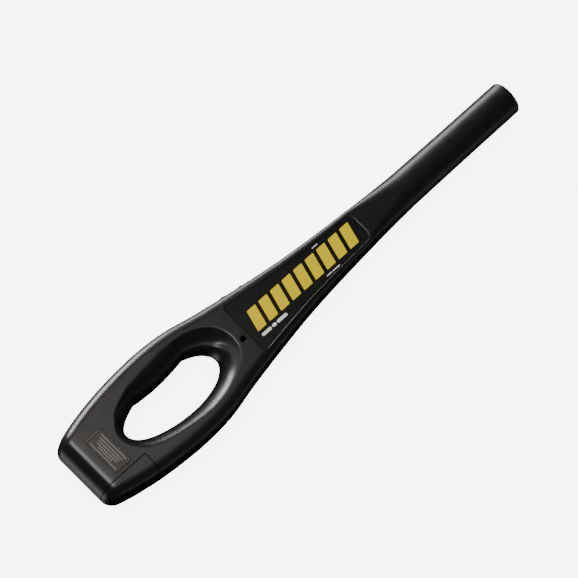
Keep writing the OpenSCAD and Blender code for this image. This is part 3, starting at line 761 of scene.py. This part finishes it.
def board(name, colour):
    """Solder mask over copper: tracks show as lighter lines, with a fine weave under it."""
    look = Look(name, 0.35)
    tracks = look.add("ShaderNodeTexBrick", offset=0.4, squash=0.7, squash_frequency=3)
    tracks.inputs["Scale"].default_value = 160
    tracks.inputs["Brick Width"].default_value = 1.7
    tracks.inputs["Row Height"].default_value = 0.16
    tracks.inputs["Mortar Size"].default_value = 0.022
    tracks.inputs["Color1"].default_value = (0, 0, 0, 1)
    tracks.inputs["Color2"].default_value = (0.25, 0.25, 0.25, 1)
    tracks.inputs["Mortar"].default_value = (1, 1, 1, 1)
    look.link(look.coordinates, tracks.inputs["Vector"])
    mask = look.colours(look.noise(6, 3), *shades(colour, 0.15))
    copper = look.colours(look.noise(3, 3), *shades(tuple(c * 1.9 for c in colour), 0.1))
    look.colour_from(look.layered(tracks.outputs["Color"], mask, copper))
    look.roughness_from(look.spread(look.noise(9, 4), 0.28, 0.42))
    look.bump(tracks.outputs["Color"], 0.03)
    look.bump(look.noise(0.6, 2), 0.006)
    return look.material


def foil(name, colour):
    """Metal foil with creases."""
    look = Look(name, 0.3, metallic=1.0)
    creases = look.cells(3.5, "DISTANCE_TO_EDGE")
    look.colour_from(look.colours(look.noise(6, 4), *shades(colour, 0.12)))
    look.roughness_from(look.spread(look.noise(2, 4), 0.22, 0.42))
    look.bump(creases, 0.05)
    look.bump(look.noise(1.5, 3), 0.01)
    return look.material


BAND_EDGE = (0.0085, 0.0087)  # where the battery's metallic band starts, in metres along Y


def battery_wrap(name, colour, band):
    """Satin sleeve with a plain metallic band round the terminal end."""
    look = Look(name, 0.35)
    place = look.add("ShaderNodeSeparateXYZ")
    look.link(look.coordinates, place.inputs[0])
    edge = look.spread(place.outputs["Y"], 0, 1, *BAND_EDGE)
    body = look.colours(look.noise(8, 4), *shades(colour, 0.15))
    ring = look.colours(look.noise(3, 3, stretch=(14, 1, 1)), *shades(band, 0.12))
    look.colour_from(look.layered(edge, body, ring))
    look.link(look.spread(place.outputs["Y"], 0.1, 0.85, *BAND_EDGE), look.shader.inputs["Metallic"])
    look.roughness_from(look.spread(look.noise(5, 4), 0.28, 0.45))
    look.bump(look.noise(1.2, 3), 0.01)
    return look.material


CASING = {"colour": (0.0075, 0.0068, 0.0062), "roughness": 0.36, "grain": 0.7, "depth": 0.018, "mottle": 0.12,
          "gloss": 0.03}
looks = {
    "front_shell": moulded("casing_front_black", **CASING),
    "back_shell": moulded("casing_back_black", **CASING),
    "battery_door": moulded("casing_door_black", **CASING),
    "label_film": moulded("label_film_black", (0.006, 0.006, 0.006), 0.3, grain=0.4, depth=0.006, mottle=0.12,
                          gloss=0.04, specular=0.35),
    "yellow_ink": printed("label_yellow_ink", (0.52, 0.39, 0.0), 0.6, specular=0.05),
    "white_ink": printed("label_white_ink", (0.6, 0.6, 0.58), 0.5),
    "rating_plate": moulded("rating_plate_grey", (0.014, 0.0125, 0.011), 0.4, grain=0.4, depth=0.01, mottle=0.1,
                            gloss=0.03),
    "plate_ink": printed("rating_plate_ink", (0.09, 0.085, 0.078), 0.5),
    "screw_steel": metal("zinc_plated_steel", (0.62, 0.62, 0.63), 0.32),
    "battery_wrap": battery_wrap("battery_sleeve", (0.03, 0.045, 0.1), (0.55, 0.42, 0.2)),
    "plated_metal": metal("nickel_plate", (0.75, 0.73, 0.68), 0.22),
    "inner_plastic": moulded("inner_plastic_grey", (0.07, 0.07, 0.07), 0.5, grain=0.8),
    "red_plastic": moulded("contact_block_red", (0.4, 0.045, 0.03), 0.45, grain=0.8),
    "foam": soft("closed_cell_foam", (0.09, 0.09, 0.095), 0.7, 0.12, 0.9),
    "bezel_plastic": moulded("bezel_satin_black", (0.018, 0.018, 0.018), 0.32, grain=0.35, depth=0.006),
    "rocker_plastic": moulded("rocker_dark_grey", (0.055, 0.055, 0.055), 0.4, grain=0.35, depth=0.01),
    "contact_brass": metal("contact_brass", (0.72, 0.55, 0.25), 0.28),
    "window_lens": clear("smoked_window", (0.32, 0.29, 0.27), 0.08, 0.75),
    "led_green": clear("lamp_green", (0.1, 0.6, 0.16), 0.12, 0.5),
    "led_amber": clear("lamp_amber", (0.9, 0.45, 0.04), 0.12, 0.5),
    "led_red": clear("lamp_red", (0.75, 0.04, 0.03), 0.12, 0.5),
    "socket_plastic": moulded("socket_black", (0.008, 0.008, 0.008), 0.4, grain=0.5, depth=0.006, specular=0.3),
    "speaker_steel": metal("stamped_steel", (0.32, 0.32, 0.34), 0.42, brush=(1, 9, 1)),
    "cone_paper": soft("pressed_paper", (0.09, 0.075, 0.06), 0.5, 0.05, 0.8),
    "holder_rubber": soft("holder_rubber_black", (0.025, 0.025, 0.025), 0.9, 0.02, 0.7),
    "weight_metal": metal("sintered_weight", (0.45, 0.43, 0.38), 0.5, brush=(1, 1, 1), size=0.4, depth=0.01),
    "board_laminate": board("solder_mask_green", (0.015, 0.11, 0.045)),
    "chip_plastic": moulded("epoxy_black", (0.02, 0.02, 0.021), 0.55, grain=0.25, depth=0.01),
    "capacitor_can": printed("capacitor_sleeve", (0.03, 0.045, 0.16), 0.3),
    "ferrite": soft("ferrite_grey", (0.06, 0.06, 0.063), 0.4, 0.03, 0.6),
    "trimmer_blue": moulded("trimmer_blue", (0.03, 0.12, 0.5), 0.4, grain=0.4, depth=0.006),
    "connector_nylon": moulded("natural_nylon", (0.72, 0.7, 0.62), 0.45, grain=0.6, mottle=0.06),
    "former_plastic": moulded("former_natural", (0.66, 0.62, 0.52), 0.5, grain=0.8, mottle=0.08),
    "copper_wire": wound("enamelled_winding", (0.62, 0.26, 0.1)),
    "shield_foil": foil("shield_foil", (0.68, 0.68, 0.7)),
    "lead_red": printed("lead_red", (0.5, 0.03, 0.02), 0.4),
    "lead_blue": printed("lead_blue", (0.03, 0.1, 0.5), 0.4),
    "lead_yellow": printed("lead_yellow", (0.7, 0.5, 0.03), 0.4),
    "lead_black": printed("lead_black", (0.02, 0.02, 0.02), 0.4),
    "lead_grey": printed("lead_grey", (0.3, 0.3, 0.3), 0.4),
}


# ---------------------------------------------------------------------------
# Pieces on the casing
# ---------------------------------------------------------------------------

def ring_stack(rings, closed=False):
    """Skin over rings that all have the same number of points; closed joins the last ring to the first."""
    n = len(rings[0])
    points = [p for ring in rings for p in ring]
    faces = []
    for k in range(len(rings) if closed else len(rings) - 1):
        a, b = k * n, (k + 1) % len(rings) * n
        faces += [(a + i, a + (i + 1) % n, b + (i + 1) % n, b + i) for i in range(n)]
    if not closed:
        faces += [tuple(range(n))[::-1], tuple(range(len(points) - n, len(points)))]
    return points, faces


def layers(outline_of, steps, closed=False):
    """Stack of outlines: steps are pairs of outline growth and height."""
    return ring_stack([[(x, y, height) for x, y in outline_of(grow)] for grow, height in steps], closed)


def capsule(x0, y0, x1, y1, radius):
    """Outline of a round-ended dash between two points."""
    turn = math.atan2(y1 - y0, x1 - x0)
    points = []
    for cx, cy, start in ((x1, y1, -90), (x0, y0, 90)):
        points += [(cx + radius * math.cos(turn + math.radians(start + 180 * i / 8)),
                    cy + radius * math.sin(turn + math.radians(start + 180 * i / 8))) for i in range(9)]
    return points


def build_piece(name, groups, body, replaced, degrees=35):
    """One object from groups of (part, material); it rides on a body and stands for a CAD node."""
    points, faces, indices, materials = [], [], [], []
    for part, material in groups:
        if material not in materials:
            materials.append(material)
        part_points, part_faces = join_parts([(points, faces), part])
        indices += [materials.index(material)] * (len(part_faces) - len(faces))
        points, faces = part_points, part_faces
    obj = mesh_object(name, to_metres(points), faces)
    for material in materials:
        obj.data.materials.append(material)
    obj.data.polygons.foreach_set("material_index", indices)
    smooth(obj, degrees)
    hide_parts(replaced)
    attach(obj, body)


def on_face(part):
    return moved(part, FACE_FRAME)


def ink(outline, top=LABEL_TOP, height=INK):
    """A printed or raised shape on a surface at the given height."""
    return prism_parts(outline, top - 0.1, top + height)


def slanted_bar(s0, s1, y0, y1, lean):
    """Outline of one bar of the band, leaning towards the tip, with rounded corners."""
    radius = 0.7
    corners = [Vector((s0, y0)), Vector((s1, y0)), Vector((s1 + lean, y1)), Vector((s0 + lean, y1))]
    points = []
    for i, corner in enumerate(corners):
        before = (corners[i - 1] - corner).normalized() * radius
        after = (corners[(i + 1) % 4] - corner).normalized() * radius
        for t in (0, 0.3, 0.6, 1):
            points.append(tuple(corner + before * (1 - t) ** 2 + after * t ** 2))
    return points


def label_piece():
    """Film in its recess, the recess's sloped collar, the band of bars and the dashes."""
    film = layers(label_outline, [(-0.3, LABEL_FLOOR), (-0.3, LABEL_TOP)])
    collar = layers(label_outline, [(0.1, LABEL_FLOOR), (0.1, 0.02), (-0.05, 0.02), (-0.6, LABEL_TOP + 0.02),
                                    (-0.6, LABEL_FLOOR)], closed=True)
    groups = [(on_face(film), looks["label_film"]), (on_face(collar), looks["front_shell"])]
    first, last, low, high, lean, gap, count = 173.3, 284.4, -9.4, 7.7, 4.6, 3.4, 9
    pitch = (last - first - lean + gap) / count
    for i in range(count):
        start = first + i * pitch
        groups.append((on_face(ink(slanted_bar(start, start + pitch - gap, low, high, lean))), looks["yellow_ink"]))
    # ends and half width of each dash
    dashes = [(174.6, -13.6, 181.8, -13.6, 1.2), (185.2, -13.6, 187.0, -13.6, 1.2), (190.4, -13.6, 198.3, -13.6, 1.2),
              (250, 10.5, 255, 10.5, 0.35), (243, -12.7, 247.6, -12.7, 0.35), (249, -12.7, 256, -12.7, 0.35)]
    for dash in dashes:
        groups.append((on_face(ink(capsule(*dash))), looks["white_ink"]))
    build_piece("name_label_panel", groups, "wand_body", "name_label")


def plate_piece():
    """Plate with a raised rim and rows of plain bars."""
    top, corner, middle = MID - 0.2, 1.8, -1.15

    def outline(grow):
        return plate_outline(grow, corner + grow)

    base = layers(outline, [(0, PLATE_FLOOR), (0, top - 0.25), (-0.15, top - 0.1)])
    rim = layers(outline, [(-0.2, top - 0.2), (-0.2, top), (-0.35, top + 0.1), (-0.75, top + 0.1),
                           (-1.05, top - 0.05), (-1.05, top - 0.2)], closed=True)
    groups = [(base, looks["rating_plate"]), (rim, looks["rating_plate"])]
    for station, length in ((18.2, 27), (20.6, 14), (22.6, 20), (24.8, 21), (27, 23), (29.6, 26)):
        row = capsule(station, middle - length / 2, station, middle + length / 2, 0.62)
        bar = ink(row, top - 0.1, 0.12)
        groups.append((bar, looks["plate_ink"]))
    build_piece("rating_plate_panel", groups, "wand_body", "rating_plate")


def edge_part(part, station):
    """Part drawn with x along the edge, y up from the seam and z outwards, set on the control edge."""
    points, faces = part
    return moved(([(x, z, y) for x, y, z in points], [tuple(reversed(f)) for f in faces]), edge_frame(station))


def bezel_piece():
    """Frame round the rocker: a neck in the wall and a rounded flange outside it."""
    # half length, half width, corner, distance outwards
    rings = [(11.6, 5.4, 0.5, -2.9), (11.6, 5.4, 0.5, 0.14), (13, 6.8, 1.6, 0.16), (13, 6.8, 1.6, 0.45),
             (12.8, 6.6, 1.5, 0.75), (12.4, 6.2, 1.3, 0.9), (10.8, 4.8, 1.0, 0.9), (10.45, 4.45, 0.8, 0.75),
             (10.3, 4.3, 0.7, 0.5), (10.3, 4.3, 0.7, -2.9)]
    ring = ring_stack([[(x, y, out) for x, y in rounded_outline(-half_x, -half_y, half_x, half_y, corner)]
                       for half_x, half_y, corner, out in rings], closed=True)
    build_piece("switch_bezel_frame", [(edge_part(ring, ROCKER_STATION), looks["bezel_plastic"])],
                "wand_body", "switch_bezel", 30)


def rocker_piece():
    """Saddle-topped cap, lofted along the edge, with rounded long edges and ends and fine grip ribs."""
    round_start, round_size = 8.65, 0.7
    rib_start, rib_end, rib_pitch = 4.4, 8, 1.2
    ends = np.array([round_start, 9.05, 9.25, round_start + round_size])
    rings = []
    for x in np.concatenate([-ends[::-1], np.linspace(-8.2, 8.2, 83), ends]):
        end = max(0.0, abs(x) - round_start) / round_size
        inset = round_size * (1 - math.sqrt(max(0.0, 1 - end * end)))
        ribs = 0.0
        if rib_start < abs(x) < rib_end:
            ribs = 0.14 * (1 - math.cos(2 * math.pi * (abs(x) - rib_start) / rib_pitch))
        top = 1.1 + 1.5 * (x / 9) ** 2 - inset + ribs * min(1, (rib_end - abs(x)) / 0.6)
        bottom = -6.8 + max(0.0, abs(x) - 2.2) / 7.4 * 5.0 + inset
        half = 4 - inset
        rings.append([(x, y, z) for y, z in rounded_outline(-half, bottom, half, top, 0.7)])
    lever = box_parts((-1, -3.9, -10.4), (1, 3.9, -5.2))
    groups = [(edge_part(part, ROCKER_STATION), looks["rocker_plastic"]) for part in (ring_stack(rings), lever)]
    build_piece("rocker_cap_key", groups, "rocker_body", "rocker_cap", 40)


def window_piece():
    """Clear strip over the lamps, with a rounded edge."""
    half_x, half_y = 10.9, 4.1

    def outline(grow):
        return rounded_outline(-half_x - grow, -half_y - grow, half_x + grow, half_y + grow, 0.8)

    plate = layers(outline, [(0, -2.2), (0, -0.3), (-0.08, -0.08), (-0.3, 0.05)])
    build_piece("indicator_window_lens", [(edge_part(plate, WINDOW_STATION), looks["window_lens"])],
                "wand_body", "indicator_window")


def socket_piece():
    """Socket body under the face, with a barrel that ends in a funnel inside the hole."""
    low, high = 3.0, 15.4
    # half size, corner, height
    rings = [(4.2, 0.6, low), (4.2, 0.6, high - 0.3), (3.9, 0.6, high), (2.6, 2.59, high), (2.6, 2.59, 16.6),
             (2.45, 2.44, 16.8), (2.25, 2.24, 16.8), (1.8, 1.79, 15.6), (1.8, 1.79, low + 1)]
    x, y = SOCKET
    skin = ring_stack([[(px, py, z) for px, py in rounded_outline(x - half, y - half, x + half, y + half, radius)]
                       for half, radius, z in rings])
    build_piece("earphone_socket_barrel", [(skin, looks["socket_plastic"])],
                "wand_body", "earphone_socket", 30)


label_piece()
plate_piece()
bezel_piece()
rocker_piece()
window_piece()
socket_piece()

# The inner pieces keep their CAD shapes
for part in frame["record"]["subparts"]:
    node = frame["nodes"][part["node"]]
    node.data.materials.clear()
    node.data.materials.append(looks[part["material_slot"]])
for shell, look in ((front, "front_shell"), (back, "back_shell"), (door, "battery_door")):
    shell.data.materials.clear()
    shell.data.materials.append(looks[look])

# ---------------------------------------------------------------------------
# Floor, lights and camera
# ---------------------------------------------------------------------------

FLOOR_GLOW = 6.0
FLOOR_HALF = 3
WORLD_GLOW = 0.7
LIGHT_TARGET = Vector((0, 0, 0.02))


def floor_material():
    """Pale floor that glows white, so that it stays even behind the wand."""
    look = Look("studio_floor", 0.9)
    look.colour_from(look.colours(look.noise(60, 3), (0.9, 0.9, 0.9), (0.93, 0.93, 0.93)))
    look.roughness_from(look.spread(look.noise(20, 3), 0.85, 0.95))
    look.shader.inputs["Emission Color"].default_value = (1, 1, 1, 1)
    look.shader.inputs["Emission Strength"].default_value = FLOOR_GLOW
    return look.material


floor_corners = [(x * FLOOR_HALF, y * FLOOR_HALF, 0) for x, y in ((-1, -1), (1, -1), (1, 1), (-1, 1))]
floor = mesh_object("floor", floor_corners, [(0, 1, 2, 3)])
floor.data.materials.append(floor_material())
floor.visible_glossy = False
floor.visible_diffuse = False
floor.visible_shadow = False

# The photograph's view: nearly from above, from far away, rolled so that the wand runs up to the right
TO_CAMERA = Vector((-0.32, -0.16, 0.934)).normalized()
ROLL = math.radians(41.9)
TARGET = Vector((-0.0113, -0.0011, 0.036))
CAMERA_DISTANCE = 14.0
CAMERA_REACH = 30
LENS = 1173
SENSOR = 36


def add_camera():
    along = (Vector((1, 0, 0)) - TO_CAMERA.x * TO_CAMERA).normalized()
    across = TO_CAMERA.cross(along)
    right = math.cos(ROLL) * along - math.sin(ROLL) * across
    up = math.sin(ROLL) * along + math.cos(ROLL) * across
    data = bpy.data.cameras.new("camera")
    data.lens = LENS
    data.sensor_width = SENSOR
    data.clip_end = CAMERA_REACH
    camera = bpy.data.objects.new("camera", data)
    turn = Matrix((right, up, TO_CAMERA)).transposed().to_4x4()
    camera.matrix_world = Matrix.Translation(TARGET + TO_CAMERA * CAMERA_DISTANCE) @ turn
    bpy.context.scene.collection.objects.link(camera)
    bpy.context.scene.camera = camera


def add_area(name, place, size, power, colour=(1, 1, 1)):
    """Rectangular light at a place, in metres, that faces the middle of the wand."""
    data = bpy.data.lights.new(name, "AREA")
    data.color = colour
    data.shape = "RECTANGLE"
    data.size, data.size_y = size
    data.energy = power
    light = bpy.data.objects.new(name, data)
    light.visible_camera = False
    direction = Vector(place) - LIGHT_TARGET
    light.matrix_world = Matrix.Translation(place) @ direction.to_track_quat("Z", "Y").to_matrix().to_4x4()
    bpy.context.scene.collection.objects.link(light)


add_camera()
# The long light on the +Y side, in two parts, then the lines on the crests and the grey of the butt
add_area("key", (0.08, 1.5, 0.4), (0.6, 0.4), 31)
add_area("edge", (0.65, 1.5, -0.05), (1.2, 0.4), 17)
add_area("crest", (-0.62, 0.25, 1.35), (0.25, 0.25), 8)
add_area("butt", (-1.0, 0.2, -0.9), (0.7, 1.0), 2.6)
# Weak fills for the views from the dark sides, and a small warm one over the opening
add_area("front", (0.25, -1.5, -0.4), (1.8, 0.5), 1.6)
add_area("tip", (1.5, -0.5, -0.2), (0.8, 0.5), 2)
add_area("overhead", (-0.09, 0.1, 0.55), (0.3, 0.3), 0.6, colour=(1, 0.93, 0.88))

world = bpy.data.worlds.new("world")
world.use_nodes = True
background = world.node_tree.nodes["Background"]
background.inputs["Color"].default_value = (1, 1, 1, 1)
background.inputs["Strength"].default_value = WORLD_GLOW
world.cycles_visibility.glossy = False
bpy.context.scene.world = world
